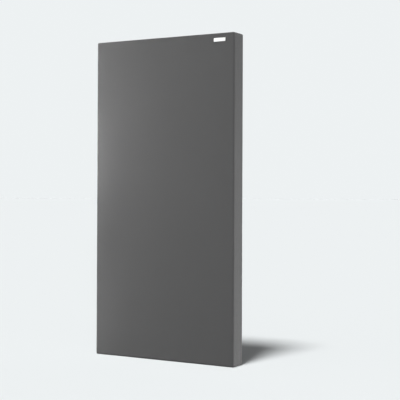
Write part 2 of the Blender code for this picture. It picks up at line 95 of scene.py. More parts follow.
# Floor, backdrop and lights
studio = {
    "floorRadius": 60,
    "backdropColour": (0.850, 0.882, 0.891),
    "floorColour": (0.826, 0.857, 0.865),
    "ambient": 0.16,
    "sunTurn": 2,         # degrees from straight in front, negative is from the left
    "sunHeight": 66,
    "sunSoftness": 13,
    "sunPower": 2.98,
    # name, place, what it points at, width, height, power; these light the panel alone
    "fills": (
        ("stripTop", (-0.52, -0.15, 1.08), (0.0, -back, 1.08), 0.05, 0.26, 0.80),
        ("stripMiddle", (-0.46, -0.11, 0.78), (0.0, -back, 0.78), 0.05, 0.30, 0.92),
        ("stripEdge", (-0.36, -0.065, 0.68), (0.0, -back, 0.68), 0.03, 0.50, 0.20),
        ("stripFoot", (-0.49, -0.13, 0.18), (0.0, -back, 0.18), 0.05, 0.36, 0.94),
        ("broadTop", (-1.30, -0.55, 1.25), (0.0, -back, 1.10), 0.60, 0.60, 22.0),
        ("frontTop", (-0.20, -1.40, 2.00), (0.0, -back, 1.15), 0.80, 0.60, 3.4),
        ("rightSide", (2.00, 0.30, 0.40), (0.30, 0.0, 0.50), 1.00, 1.20, 26.6),
        ("rightBack", (1.30, 1.30, 0.55), (0.30, 0.0, 0.55), 0.80, 1.20, 16.4),
        ("rightFoot", (0.80, 0.25, 0.08), (0.30, 0.02, 0.10), 0.20, 0.20, 0.90),
        ("rightToe", (0.50, 0.08, 0.03), (0.30, 0.02, 0.03), 0.10, 0.05, 0.08),
        ("backFill", (-0.9, 2.6, 1.3), (0.0, back, 0.6), 1.6, 1.6, 32.0),
    ),
}


def plainMaterial(name, colour, glow=0.0):
    made = bpy.data.materials.new(name)
    made.use_nodes = True
    for key, value in {
        "Base Color": (0, 0, 0, 1) if glow else (*colour, 1),
        "Roughness": 1.0,
        "Specular IOR Level": 0.0,
        "Emission Color": (*colour, 1),
        "Emission Strength": glow,
    }.items():
        made.node_tree.nodes["Principled BSDF"].inputs[key].default_value = value
    return made


def addStudio():
    radius = studio["floorRadius"]
    bpy.ops.mesh.primitive_circle_add(vertices=96, radius=radius, fill_type="TRIFAN")
    floor = bpy.context.object
    floor.name = "floor"
    floor.data.materials.append(plainMaterial("floor", studio["floorColour"]))
    bpy.ops.mesh.primitive_uv_sphere_add(segments=48, ring_count=24, radius=radius)
    backdrop = bpy.context.object
    backdrop.name = "backdrop"
    backdrop.data.materials.append(plainMaterial("backdrop", studio["backdropColour"], glow=1.0))
    backdrop.visible_diffuse = False
    backdrop.visible_glossy = False
    backdrop.visible_shadow = False
    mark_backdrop(floor, backdrop)
    world = bpy.data.worlds.new("studio")
    bpy.context.scene.world = world
    world.use_nodes = True
    sky = world.node_tree.nodes["Background"]
    sky.inputs["Color"].default_value = (1, 1, 1, 1)
    sky.inputs["Strength"].default_value = studio["ambient"]
    bpy.ops.object.light_add(type="SUN")
    sun = bpy.context.object
    sun.name = "softKey"
    sun.data.energy = studio["sunPower"]
    sun.data.angle = math.radians(studio["sunSoftness"])
    turn = Matrix.Rotation(math.radians(studio["sunTurn"]), 4, "Z")
    sun.matrix_world = turn @ Matrix.Rotation(math.radians(90 - studio["sunHeight"]), 4, "X")
    bpy.context.scene.view_settings.view_transform = "Standard"
    lit = bpy.data.collections.new("litByFills")
    for name, place, target, width, height, power in studio["fills"]:
        bpy.ops.object.light_add(type="AREA")
        fill = bpy.context.object
        fill.name = name
        fill.data.shape = "RECTANGLE"
        fill.data.size = width
        fill.data.size_y = height
        fill.data.energy = power
        aim = (Vector(target) - Vector(place)).to_track_quat("-Z", "Y")
        fill.matrix_world = Matrix.Translation(place) @ aim.to_matrix().to_4x4()
        fill.visible_camera = False
        fill.light_linking.receiver_collection = lit
    return lit


litByFills = addStudio()
print("studio with", len(studio["fills"]), "fills")


class Socket:
    # A node's output. Sums written with it add their Math nodes.
    def __init__(self, output):
        self.output = output

    def node(self, kind, settings, inputs, output=0):
        # any node: its settings come first, then the values or links of its sockets
        made = self.output.id_data.nodes.new("ShaderNode" + kind)
        for key, value in settings.items():
            setattr(made, key, value)
        for key, value in inputs.items():
            if isinstance(value, Socket):
                made.id_data.links.new(value.output, made.inputs[key])
            else:
                made.inputs[key].default_value = value
        return Socket(made.outputs[output])

    def math(self, operation, *values):
        return self.node("Math", {"operation": operation}, dict(enumerate(values)))

    def __add__(self, other):
        return self.math("ADD", self, other)

    def __sub__(self, other):
        return self.math("SUBTRACT", self, other)

    def __mul__(self, other):
        return self.math("MULTIPLY", self, other)

    def __truediv__(self, other):
        return self.math("DIVIDE", self, other)

    def __radd__(self, other):
        return self.math("ADD", other, self)

    def __rsub__(self, other):
        return self.math("SUBTRACT", other, self)

    def __rmul__(self, other):
        return self.math("MULTIPLY", other, self)

    def __pow__(self, other):
        return self.math("POWER", self, other)

    def __gt__(self, level):
        return self.math("GREATER_THAN", self, level)

    def __abs__(self):
        return self.math("ABSOLUTE", self)

    def sine(self):
        return self.math("SINE", self)

    def fraction(self):
        return self.math("FRACT", self)

    def least(self, other):
        return self.math("MINIMUM", self, other)

    def most(self, other):
        return self.math("MAXIMUM", self, other)

    def rise(self, start, end):
        # 0 up to start, 1 from end on, smooth between them
        return self.node("MapRange", {"interpolation_type": "SMOOTHSTEP"},
                         {"Value": self, "From Min": start, "From Max": end})

    def split(self):
        made = self.node("SeparateXYZ", {}, {0: self})
        return [Socket(output) for output in made.output.node.outputs]

    def stretched(self, x, y, z):
        return self.node("VectorMath", {"operation": "MULTIPLY"}, {0: self, 1: (x, y, z)})

    def noise(self, scale, detail, roughness=0.5):
        return self.node("TexNoise", {}, {
            "Vector": self, "Scale": scale, "Detail": detail, "Roughness": roughness})

    def cells(self, scale, output="Distance"):
        return self.node("TexVoronoi", {"feature": "F1"}, {"Vector": self, "Scale": scale}, output)

    def mix(self, low, high):
        # two colours, by this factor
        low, high = [c if isinstance(c, Socket) else (*c, 1) for c in (low, high)]
        return self.node("Mix", {"data_type": "RGBA"}, {0: self, 6: low, 7: high}, 2)

    def bump(self, distance, strength):
        return self.node("Bump", {}, {"Height": self, "Distance": distance, "Strength": strength})

    def feed(self, name):
        shader = self.output.id_data.nodes["Principled BSDF"]
        self.output.id_data.links.new(self.output, shader.inputs[name])


def startFinish(name, fixed):
    # a material, and its object and UV coordinates; fixed values go on the shader itself
    made = bpy.data.materials.new(name)
    made.use_nodes = True
    for key, value in fixed.items():
        made.node_tree.nodes["Principled BSDF"].inputs[key].default_value = value
    place = made.node_tree.nodes.new("ShaderNodeTexCoord")
    return made, Socket(place.outputs["Object"]), Socket(place.outputs["UV"])


def joined(place, x, y, z):
    return place.node("CombineXYZ", {}, {0: x, 1: y, 2: z})


def select(*pieces):
    # these and nothing else, the first of them active
    bpy.ops.object.select_all(action="DESELECT")
    for piece in pieces:
        piece.select_set(True)
    if pieces:
        bpy.context.view_layer.objects.active = pieces[0]


# Selecting and shaping by place, in edit mode
def startEdit(piece):
    select(piece)
    bpy.ops.object.mode_set(mode="EDIT")


def endEdit():
    bpy.ops.object.mode_set(mode="OBJECT")


def startPick(kind):
    bpy.ops.mesh.select_mode(type=kind)
    bpy.ops.mesh.select_all(action="DESELECT")
    return bmesh.from_edit_mesh(bpy.context.object.data)


def pickVerts(wanted):
    shape = startPick("VERT")
    for vert in shape.verts:
        vert.select_set(bool(wanted(vert.co)))
    shape.select_flush_mode()
    bmesh.update_edit_mesh(bpy.context.object.data)


def pickEdges(wanted):
    shape = startPick("EDGE")
    for edge in shape.edges:
        if wanted(edge.verts[0].co, edge.verts[1].co):
            edge.select_set(True)
    bmesh.update_edit_mesh(bpy.context.object.data)


def pickFaces(wanted):
    shape = startPick("FACE")
    for face in shape.faces:
        if wanted(face.calc_center_median(), face.normal):
            face.select_set(True)
    bmesh.update_edit_mesh(bpy.context.object.data)


def pickAll():
    bpy.ops.mesh.select_all(action="SELECT")


def cutAcross(point, normal):
    bpy.ops.mesh.bisect(plane_co=point, plane_no=normal)


def extrude(x, y, z):
    bpy.ops.mesh.extrude_region_move(TRANSFORM_OT_translate={"value": (x, y, z)})


def soften(offset, segments):
    bpy.ops.mesh.bevel(offset=offset, segments=segments, profile=0.5, affect="EDGES")


def narrow(factor):
    bpy.ops.transform.resize(value=(factor, factor, 1))


def pull(depth, reach):
    # along y, with less and less of what lies around, out to reach
    bpy.ops.transform.translate(value=(0, depth, 0), use_proportional_edit=True,
                                proportional_edit_falloff="SMOOTH", proportional_size=reach)


def faceOutwards():
    pickAll()
    bpy.ops.mesh.normals_make_consistent(inside=False)


def divideAlong(axis, low, high, count, short=0.0):
    # lines across one stretch of the mesh, between two places on an axis or a little short of them
    others = [i for i in range(3) if i != axis]

    def runs(a, b):
        start, end = sorted((a[axis], b[axis]))
        level = all(abs(a[i] - b[i]) < 1e-6 for i in others)
        return level and all(-1e-5 < gap < short + 1e-5 for gap in (start - low, high - end))

    pickEdges(runs)
    bpy.ops.mesh.subdivide(number_cuts=count - 1)


def settle(name, scale=(1, 1, 1)):
    # the new primitive's place goes into its mesh
    piece = bpy.context.object
    piece.scale = [a * b for a, b in zip(piece.scale, scale)]
    bpy.ops.object.transform_apply(location=True, rotation=True, scale=True)
    piece.name = piece.data.name = name
    return piece


def addBlock(name, low, high):
    middle = [(a + b) / 2 for a, b in zip(low, high)]
    size = [b - a for a, b in zip(low, high)]
    select()
    bpy.ops.mesh.primitive_cube_add(size=1, location=middle, scale=size)
    return settle(name)


def modify(piece, kind, **settings):
    select(piece)
    added = piece.modifiers.new(kind.lower(), kind)
    for key, value in settings.items():
        setattr(added, key, value)
    bpy.ops.object.modifier_apply(modifier=added.name)


def roughen(piece, name, scale, detail, strength, middle, **settings):
    # moved by a noise of that scale, from its middle level on
    clouds = bpy.data.textures.new(name, "CLOUDS")
    clouds.noise_scale = scale
    clouds.noise_depth = detail
    modify(piece, "DISPLACE", texture=clouds, texture_coords="LOCAL", strength=strength,
           mid_level=middle, **settings)


def thicken(piece, thickness, offset=0):
    modify(piece, "SOLIDIFY", thickness=thickness, offset=offset, use_even_offset=True)


def weigh(piece, name, weight):
    # a vertex group, from a number worked out for each point's place
    group = piece.vertex_groups.new(name=name)
    for vert in piece.data.vertices:
        group.add([vert.index], weight(vert.co), "REPLACE")
    return name


def share(value, start, end):
    # 0 up to start, 1 from end on
    return min(1, max(0, (value - start) / (end - start)))


def smoothShade(piece, angle):
    select(piece)
    bpy.ops.object.shade_smooth_by_angle(angle=math.radians(angle))


def copyTo(piece, name, place, turn=(0, 0, 0)):
    made = piece.copy()
    made.data = piece.data.copy()
    bpy.context.collection.objects.link(made)
    made.location = place
    made.rotation_euler = turn
    select(made)
    return settle(name)


def dress(piece, finish, body="panel"):
    piece.data.materials.clear()
    piece.data.materials.append(finish)
    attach(piece, body)


# Finishes
greyCloth = {
    "warp": (0.1024, 0.101, 0.1014),
    "weft": (0.0740, 0.073, 0.0732),
    # painted shade in the gaps between the threads
    "gap": (0.0304, 0.030, 0.0301),
    "thread": 0.0009,    # from one thread to the next
    "relief": 0.00022,
    "melange": 0.45,
    # painted shade along the edges: its colour, how much of it is painted, and how far in it
    # reaches
    "worn": (0.0517, 0.051, 0.0512),
    "edgeShadeShare": 0.55,
    "edgeShadeWidth": 0.0075,
    "sheen": 0.10,
}


def clothFinish():
    made, place, flat = startFinish("greyCloth", {
        "Sheen Weight": greyCloth["sheen"], "Sheen Roughness": 0.45, "Specular IOR Level": 0.25})
    u, v, _ = flat.stretched(1 / greyCloth["thread"], 1 / greyCloth["thread"], 1).split()
    acrossWarp, acrossWeft = (u * math.pi).sine(), (v * math.pi).sine()
    warpOver = acrossWarp * acrossWeft > 0
    weftOver = 1 - warpOver
    warpRound, weftRound = abs(acrossWarp), abs(acrossWeft)
    warpHeight = warpRound * (0.5 + 0.5 * weftRound)
    weftHeight = weftRound * (0.5 + 0.5 * warpRound)
    height = warpOver * warpHeight + weftOver * weftHeight
    warpYarn = joined(flat, u * 0.85, v * 0.07, 0).noise(1, 3)
    weftYarn = joined(flat, u * 0.07, v * 0.85, 3).noise(1, 3)
    yarn = warpOver * warpYarn + weftOver * weftYarn
    hairs = joined(flat, u * 4, v * 4, 0).noise(1, 2)
    patches = place.noise(9, 3)
    tone = 0.5 + (yarn - 0.5) * (2 * greyCloth["melange"])
    tone = tone + (patches - 0.5) * 0.25 + (hairs - 0.5) * 0.2
    colour = (0.5 * tone + 0.5 * warpOver).mix(greyCloth["weft"], greyCloth["warp"])
    # painted shade: the gaps between the threads are painted darker
    colour = height.rise(0.0, 0.55).mix(greyCloth["gap"], colour)
    x, y, z = place.split()
    # painted shade along the edges where two faces meet, uneven in patches
    nearX, nearY, nearZ = [
        abs(across).rise(half - greyCloth["edgeShadeWidth"], half - 0.0005)
        for across, half in ((x, halfWidth), (y, back), (z - halfHeight, halfHeight))]
    edge = (nearX * nearY).most(nearX * nearZ).most(nearY * nearZ)
    shadedEdge = edge * (0.5 + 0.5 * place.noise(60, 3).rise(0.35, 0.65)) * greyCloth["edgeShadeShare"]
    shadedEdge.mix(colour, greyCloth["worn"]).feed("Base Color")
    (0.86 + 0.12 * hairs - 0.06 * edge).feed("Roughness")
    (height + 0.25 * hairs).bump(greyCloth["relief"], 0.8).feed("Normal")
    return made


whiteFleece = {
    "light": (0.78, 0.78, 0.76),
    "dark": (0.60, 0.60, 0.58),
    "needles": 0.0022,    # from one needle hole to the next
}


def fleeceFinish():
    made, place, _ = startFinish("whiteFleece", {"Sheen Weight": 0.25, "Specular IOR Level": 0.2})
    x, y, z = place.split()
    lie = place.stretched(260, 260, 40).noise(1, 4, 0.6)
    cross = joined(place, x * 60, y * 300, z * 330).noise(1, 4, 0.6)
    fibres = abs(lie - 0.5).least(abs(cross - 0.5)).rise(0.0, 0.05)
    holes = 1 - place.cells(1 / whiteFleece["needles"]).rise(0.12, 0.30)
    loft = place.noise(45, 4)
    # painted shade: the needle holes are painted darker
    tone = 0.35 * fibres + 0.65 * loft - 0.25 * holes
    tone.mix(whiteFleece["dark"], whiteFleece["light"]).feed("Base Color")
    (0.9 + 0.08 * loft).feed("Roughness")
    (loft + 0.5 * fibres - 0.6 * holes).bump(0.0005, 0.7).feed("Normal")
    return made


mineralSlab = {
    "light": (0.42, 0.39, 0.20),
    "dark": (0.22, 0.20, 0.10),
    "speck": (0.12, 0.10, 0.05),
}


def slabFinish():
    made, place, _ = startFinish("mineralSlab", {"Sheen Weight": 0.1, "Specular IOR Level": 0.2})
    layers = place.stretched(20, 420, 20).noise(1, 4, 0.6)
    threads = place.stretched(90, 500, 480).noise(1, 5, 0.65)
    crossing = place.stretched(480, 500, 90).noise(1, 5, 0.65)
    fibres = abs(threads - 0.5).least(abs(crossing - 0.5)).rise(0.0, 0.06)
    specks = 1 - place.cells(160).rise(0.05, 0.12)
    clumps = place.noise(28, 3)
    tone = 0.4 * layers + 0.35 * clumps + 0.3 * fibres
    colour = tone.mix(mineralSlab["dark"], mineralSlab["light"])
    (specks * clumps.rise(0.5, 0.6)).mix(colour, mineralSlab["speck"]).feed("Base Color")
    (0.88 + 0.1 * clumps).feed("Roughness")
    (fibres + layers + clumps).bump(0.0008, 0.8).feed("Normal")
    return made


pine = {
    "early": (0.70, 0.52, 0.31),
    "late": (0.50, 0.31, 0.15),
    "knot": (0.24, 0.12, 0.05),
    "rings": 0.0032,    # from one year to the next
    "wander": 0.006,
    "middle": 0.0153,    # of the timber, from the panel's edge
    "heart": (0.021, -0.052),    # of the tree, from there
    "apart": 0.045,    # how much of the tree is skipped between opposite members
}


def pineFinish(name, upright):
    # the heart of the tree lies beside the timber; its rings run along it
    made, place, _ = startFinish(name, {"Specular IOR Level": 0.35})
    x, y, z = place.split()
    along, aside, half = (z, x, halfWidth) if upright else (x, z - halfHeight, halfHeight)
    across = abs(aside) - (half - pine["middle"]) + (aside > 0) * pine["apart"]
    grain = joined(place, across * 5, y * 5, along * 0.55)
    drift = (grain.noise(1, 3) - 0.5) * pine["wander"]
    knotField = joined(place, across * 16, y * 16, along * 2.3)
    knots = knotField.cells(1)
    heartX, heartY = pine["heart"]
    radius = ((across - heartX) ** 2 + (y - heartY) ** 2) ** 0.5
    radius = radius + drift * 2 + (1 - knots.rise(0.05, 0.5)) * 0.006
    year = (radius / pine["rings"]).fraction()
    band = year.rise(0.15, 0.86) * (1 - year.rise(0.90, 1.0))
    pores = joined(place, across * 1500, y * 1500, along * 22).noise(1, 2)
    broad = grain.noise(3.5, 3)
    tone = 0.75 * band + 0.35 * (pores - 0.5) + 0.4 * (broad - 0.5)
    colour = tone.mix(pine["early"], pine["late"])
    knot = 1 - knots.rise(0.06, 0.13)
    knot.mix(colour, pine["knot"]).feed("Base Color")
    (0.62 + 0.14 * pores - 0.10 * band - 0.2 * knot).feed("Roughness")
    (0.5 * pores + 0.5 * band).bump(0.00012, 0.6).feed("Normal")
    return made


plywood = {
    "light": (0.64, 0.45, 0.26),
    "dark": (0.47, 0.30, 0.15),
    "layer": 0.001364,
    "deep": 0.0172,    # from the panel's back to the inner face of the board
}


def plyFinish():
    made, place, _ = startFinish("plywoodBoard", {"Specular IOR Level": 0.35})
    x, y, z = place.split()
    swirl = joined(place, x * 2.2, y * 30, z * 16).noise(1, 4)
    figure = (swirl * 42).sine() * 0.5 + 0.5
    pores = joined(place, x * 34, y * 900, z * 1300).noise(1, 2)
    layer = ((back - plywood["deep"] - y) * (math.pi / plywood["layer"])).sine() > 0
    endPores = joined(place, x * 1300, y * 600, z * 1300).noise(1, 2)
    faces = place.node("TexCoord", {}, {}, "Normal").split()[1]
    edgeOn = 1 - (abs(faces) > 0.6)
    veneer = 0.45 * figure + 0.5 * pores
    plies = 0.75 * layer + 0.35 * endPores
    tone = edgeOn * plies + (1 - edgeOn) * veneer
    tone.mix(plywood["light"], plywood["dark"]).feed("Base Color")
    (0.66 + 0.16 * pores).feed("Roughness")
    (pores + edgeOn * layer).bump(0.00014, 0.6).feed("Normal")
    return made


blackNonwoven = {
    "thread": (0.011, 0.011, 0.012),
    "hair": (0.032, 0.032, 0.034),
    "points": 0.0016,    # from one pressed point to the next
}


def nonwovenFinish():
    # spun fibres, pressed together at small diamonds
    made, place, _ = startFinish("blackNonwoven", {
        "Sheen Weight": 0.12, "Specular IOR Level": 0.35})
    x, _, z = place.split()
    step = math.pi / blackNonwoven["points"]
    pressed = (((x + z) * step).sine() * ((x - z) * step).sine()).rise(0.55, 0.85)
    webA = joined(place, (x + z) * 1300, 0, (x - z) * 150).noise(1, 3)
    webB = joined(place, (x + z) * 150, 5, (x - z) * 1300).noise(1, 3)
    fibres = 1 - abs(webA - 0.5).least(abs(webB - 0.5)).rise(0.0, 0.06)
    cloudy = place.noise(55, 4)
    tone = 0.5 * fibres * (1 - pressed) + 0.8 * (cloudy - 0.35)
    tone.mix(blackNonwoven["thread"], blackNonwoven["hair"]).feed("Base Color")
    (0.78 - 0.34 * pressed + 0.1 * cloudy).feed("Roughness")
    (fibres * 0.6 + cloudy - pressed).bump(0.00012, 0.8).feed("Normal")
    return made


zincPlate = {
    "bright": (0.56, 0.57, 0.59),
    "dull": (0.38, 0.39, 0.41),
    "worn": (0.70, 0.70, 0.71),
}


def zincFinish():
    made, place, _ = startFinish("zincPlate", {"Metallic": 1.0})
    blotches = place.noise(420, 4)
    spangle = place.cells(700, "Color").split()[0]
    scratches = place.stretched(260, 900, 5200).noise(1, 2).rise(0.58, 0.68)
    colour = (0.7 * blotches + 0.35 * spangle).mix(zincPlate["dull"], zincPlate["bright"])
    (0.5 * scratches).mix(colour, zincPlate["worn"]).feed("Base Color")
    (0.30 + 0.22 * blotches - 0.10 * scratches).feed("Roughness")
    (blotches - 0.4 * scratches).bump(0.00003, 0.5).feed("Normal")
    return made


yellowZinc = {
    "gold": (0.74, 0.58, 0.25),
    "pink": (0.66, 0.42, 0.30),
    "green": (0.50, 0.56, 0.33),
}


def yellowZincFinish():
    made, place, _ = startFinish("yellowZinc", {"Metallic": 1.0})
    film = place.noise(330, 3)
    other = place.stretched(1, -1, 1).noise(510, 3)
    colour = film.rise(0.45, 0.65).mix(yellowZinc["gold"], yellowZinc["pink"])
    other.rise(0.52, 0.68).mix(colour, yellowZinc["green"]).feed("Base Color")
    (0.26 + 0.22 * film).feed("Roughness")
    (film + 0.3 * other).bump(0.00002, 0.5).feed("Normal")
    return made


blackRubber = {"fresh": (0.014, 0.014, 0.014), "dust": (0.055, 0.053, 0.050)}


def rubberFinish():
    made, place, _ = startFinish("blackRubber", {"Specular IOR Level": 0.45})
    x, y, z = place.split()
    across = ((abs(x) - bumperAt[0]) ** 2 + (abs(z - halfHeight) - bumperAt[1]) ** 2) ** 0.5
    rim = across.rise(0.0066, 0.0088) * y.rise(back + 0.0050, back + 0.0070)
    grain = place.noise(2600, 3)
    dust = place.noise(190, 4).rise(0.45, 0.75)
    tone = 0.35 * dust + 0.45 * rim * grain
    tone.mix(blackRubber["fresh"], blackRubber["dust"]).feed("Base Color")
    (0.56 + 0.2 * dust + 0.12 * grain).feed("Roughness")
    (grain + 0.5 * dust).bump(0.00006, 0.6).feed("Normal")
    return made


whitePlastic = {"clean": (0.88, 0.88, 0.87), "grubby": (0.62, 0.61, 0.58)}


def plasticFinish():
    made, place, _ = startFinish("whitePlastic", {"Coat Roughness": 0.12})
    low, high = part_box("badge")
    x, _, z = place.split()
    nearEnd = abs(x - (low.x + high.x) / 2).rise(0.0225, 0.0239)
    nearLong = abs(z - (low.z + high.z) / 2).rise(0.0053, 0.0067)
    edge = nearEnd.most(nearLong)
    smear = place.noise(120, 4)
    peel = place.noise(1900, 2)
    tone = 0.5 * edge * smear.rise(0.40, 0.70) + 0.05 * smear
    tone.mix(whitePlastic["clean"], whitePlastic["grubby"]).feed("Base Color")
    (0.30 + 0.16 * smear + 0.12 * edge).feed("Roughness")
    (0.12 + 0.1 * smear - 0.08 * edge).feed("Coat Weight")
    peel.bump(0.00002, 0.5).feed("Normal")
    return made


foamTape = {"light": (0.58, 0.58, 0.56), "dark": (0.36, 0.36, 0.35)}


def foamFinish():
    made, place, _ = startFinish("foamTape", {"Specular IOR Level": 0.3})
    bubbles = place.cells(2600).rise(0.1, 0.7)
    mottle = place.noise(700, 3)
    (0.6 * bubbles + 0.4 * mottle).mix(foamTape["light"], foamTape["dark"]).feed("Base Color")
    (0.75 + 0.15 * mottle).feed("Roughness")
    bubbles.bump(0.00008, 0.6).feed("Normal")
    return made


cloth = clothFinish()
fleeceFelt = fleeceFinish()
mineral = slabFinish()
pineUpright = pineFinish("pineUpright", True)
pineLevel = pineFinish("pineLevel", False)
ply = plyFinish()
nonwoven = nonwovenFinish()
zinc = zincFinish()
yellow = yellowZincFinish()
rubber = rubberFinish()
plastic = plasticFinish()
foam = foamFinish()
print("finishes made")

# The timber, the boards and their screws keep the CAD's shape
carried = {
    "_stile": pineUpright, "_rail": pineLevel, "cross_brace": ply, "corner_block": ply,
    "frame_screw": yellow, "brace_screw": yellow, "badge_pad": foam,
}
for nodeName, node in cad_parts.items():
    for part, finish in carried.items():
        if part in nodeName:
            node.data.materials.clear()
            node.data.materials.append(finish)
print("timber, boards and sunk screws finished")

# Cloth wrapped round the frame: folded at the corners, turned under in a hem and stapled
cover = {
    "edgeRound": 0.005,     # at the front and along the four corners
    "backRound": 0.008,
    "hem": 0.030,
    "cloth": 0.0009,
    "meshStep": 0.0075,
    "foldInset": 0.0068,    # the corner fold's place on the top and bottom, from the side
    "foldHalf": 0.0004,
    "foldDepth": 0.0006,
    "foldOver": (0.27, 0.2952),    # the cloth that the fold's lines cut, from the middle
    "flatEdge": 0.0028,     # this far down the round edge, a point is taken as the flat's
    "mitreEdge": 0.0049,    # and as the back's, for the mitre
    "underStep": 0.0003,    # the cloth under the fold lies this much lower
    "ripple": 0.0007,
    "hemRipple": 0.0008,
    "staplePull": -0.0004,
    "pullRadius": (0.0045, 0.013),    # held flat by the crown, and pulled along with it
}
staples = {
    "inset": 0.0225,
    "spacing": 0.052,
    "crown": 0.0110,
    "wire": 0.0012,
    "flat": 0.0005,
    "legs": 0.0045,
    "ease": 0.00013,
    "seat": -0.00015,      # underside of the crown, from the back: pressed a little into the hem
    "jitter": 0.0030,
    "drift": 0.0010,       # off the line
    "skew": 5,             # degrees
    "seed": 7,
    "column": (0.066, 1.134),    # from the lowest to the highest at each side
    "row": 0.46,                 # length of the line along the top and bottom
    # x, z from the middle, and turn of the two beside each mitre
    "corner": ((0.2735, 0.5885, -12), (0.2885, 0.5720, 14)),
    # left without: the hangers, where the rings swing, and the bumpers
    "clear": ((0.031, 0.059), (0.996, 1.074), (1.141, 1.169)),
}


def stapleSeats():
    # places and turns, in the plane of the back
    chance = random.Random(staples["seed"])
    inset, spacing, drift, skew = [staples[key] for key in ("inset", "spacing", "drift", "skew")]
    seats = []
    low, high = staples["column"]
    count = round((high - low) / spacing)
    for side in (-1, 1):
        for i in range(count + 1):
            z = low + (high - low) * i / count + chance.uniform(-1, 1) * staples["jitter"]
            if not any(a < z < b for a, b in staples["clear"]):
                x = side * (halfWidth - inset + chance.uniform(-drift, drift))
                seats.append((x, z, 90 + chance.gauss(0, skew)))
    long = staples["row"]
    count = round(long / spacing)
    for z in (inset, 2 * halfHeight - inset):
        for i in range(count + 1):
            x = -long / 2 + long * i / count + chance.uniform(-1, 1) * staples["jitter"]
            seats.append((x, z + chance.uniform(-drift, drift), chance.gauss(0, skew)))
    for sx in (-1, 1):
        for sz in (-1, 1):
            for start, (x, z, turn) in zip((0, 90), staples["corner"]):
                seats.append((sx * x, halfHeight + sz * z, start + sx * sz * turn))
    return seats


def cutFold(onPart, point, across, half):
    # three lines close together, for a fold
    for step in (-half, 0, half):
        pickFaces(onPart)
        cutAcross(Vector(point) + Vector(across) * step, across)


def roundCover(piece, edge, behind):
    # the box's edges: wider behind than in front and at the sides
    startEdit(piece)
    pickEdges(lambda a, b: min(a.y, b.y) > 0)
    bpy.ops.transform.edge_bevelweight(value=1)
    pickEdges(lambda a, b: min(a.y, b.y) < 0)
    bpy.ops.transform.edge_bevelweight(value=edge / behind)
    endEdit()
    modify(piece, "BEVEL", width=behind, segments=6, limit_method="WEIGHT")


def divideCover(edge, behind, inX, inZ):
    # lines for the hem's raw edge, the opening behind, and an even mesh
    for x in (-inX, inX):
        pickAll()
        cutAcross((x, 0, 0), (1, 0, 0))
    for z in (halfHeight - inZ, halfHeight + inZ):
        pickAll()
        cutAcross((0, 0, z), (0, 0, 1))
    pickFaces(lambda c, n: c.y > back - 1e-4 and abs(c.x) < inX and abs(c.z - halfHeight) < inZ)
    bpy.ops.mesh.delete(type="FACE")
    step = cover["meshStep"]
    divideAlong(0, -inX, inX, round(2 * inX / step))
    divideAlong(2, halfHeight - inZ, halfHeight + inZ, round(2 * inZ / step))
    divideAlong(1, edge - back, back - behind, 8)
    for side in (-1, 1):
        low, high = sorted((side * inX, side * (halfWidth - edge)))
        divideAlong(0, low, high, 5, behind - edge)
        low, high = sorted((side * inZ, side * (halfHeight - edge)))
        divideAlong(2, halfHeight + low, halfHeight + high, 5, behind - edge)


def foldCover(inX, inZ):
    # corner folds on the top and bottom, and mitres on the back
    fold, half, depth = halfWidth - cover["foldInset"], cover["foldHalf"], cover["foldDepth"]
    start, end = cover["foldOver"]
    flatEdge, mitreEdge = halfHeight - cover["flatEdge"], back - cover["mitreEdge"]
    for sx in (-1, 1):
        cutFold(lambda c, n: abs(c.z - halfHeight) > flatEdge and start < sx * c.x < end
                and c.y > 0.0015 - back, (sx * fold, 0, 0), (1, 0, 0), half)
        for sz in (-1, 1):
            corner = sx * halfWidth, 0, halfHeight + sz * halfHeight
            cutFold(lambda c, n: c.y > mitreEdge and sx * c.x > inX - 1e-4
                    and sz * (c.z - halfHeight) > inZ - 1e-4,
                    corner, Vector((sx, 0, -sz)).normalized(), half * 1.2)
    for sz in (-1, 1):
        pickVerts(lambda p: abs(abs(p.x) - fold) < 1e-5 and sz * (p.z - halfHeight) > flatEdge)
        bpy.ops.transform.translate(value=(0, 0, -sz * depth))
        pickVerts(lambda p: abs(p.x) > fold + half / 2 and p.y > 0.003 - back
                  and sz * (p.z - halfHeight) > halfHeight - 0.0010)
        bpy.ops.transform.translate(value=(0, 0, -sz * cover["underStep"]))
    apart = halfHeight - halfWidth
    pickVerts(lambda p: p.y > mitreEdge and abs(p.x) > inX - 1e-4
              and abs(abs(p.z - halfHeight) - abs(p.x) - apart) < 1e-5)
    bpy.ops.transform.translate(value=(0, -depth, 0))


def addCover():
    piece = addBlock("coverCloth", (-halfWidth, -back, 0), (halfWidth, back, 2 * halfHeight))
    edge, behind, hem = cover["edgeRound"], cover["backRound"], cover["hem"]
    roundCover(piece, edge, behind)
    startEdit(piece)
    divideCover(edge, behind, halfWidth - hem, halfHeight - hem)
    foldCover(halfWidth - hem, halfHeight - hem)
    # pulled in at the staples, standing up a little between them
    seats = stapleSeats()
    near, far = cover["pullRadius"]

    def toStaple(p):
        return min(math.hypot(p.x - x, p.z - z) for x, z, _ in seats)

    pickVerts(lambda p: p.y > back - 0.0005 and toStaple(p) < near)
    pull(cover["staplePull"], far)
    pickAll()
    bpy.ops.uv.cube_project(cube_size=1.0)
    faceOutwards()
    endEdit()
    # rippled, but flat where it stands on the floor
    loose = weigh(piece, "loose", lambda p: p.z > 0.010)
    roughen(piece, "clothRipple", 0.11, 2, cover["ripple"], 0.5, vertex_group=loose)

    def towardsRawEdge(p):
        inward = min(halfWidth - abs(p.x), halfHeight - abs(p.z - halfHeight))
        free = toStaple(p) if p.y > back - 0.002 else 0
        return share(inward, 0.012, 0.028) * share(free, 0.008, 0.020)

    edgeOfHem = weigh(piece, "hemEdge", towardsRawEdge)
    roughen(piece, "hemRipple", 0.028, 2, cover["hemRipple"], 0.35,
            direction="Y", vertex_group=edgeOfHem)
    thicken(piece, cover["cloth"], -1)
    smoothShade(piece, 50)
    dress(piece, cloth)
    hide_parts("fabric_cover")
    print("cover", len(piece.data.polygons), "faces")
    return piece


coverCloth = addCover()


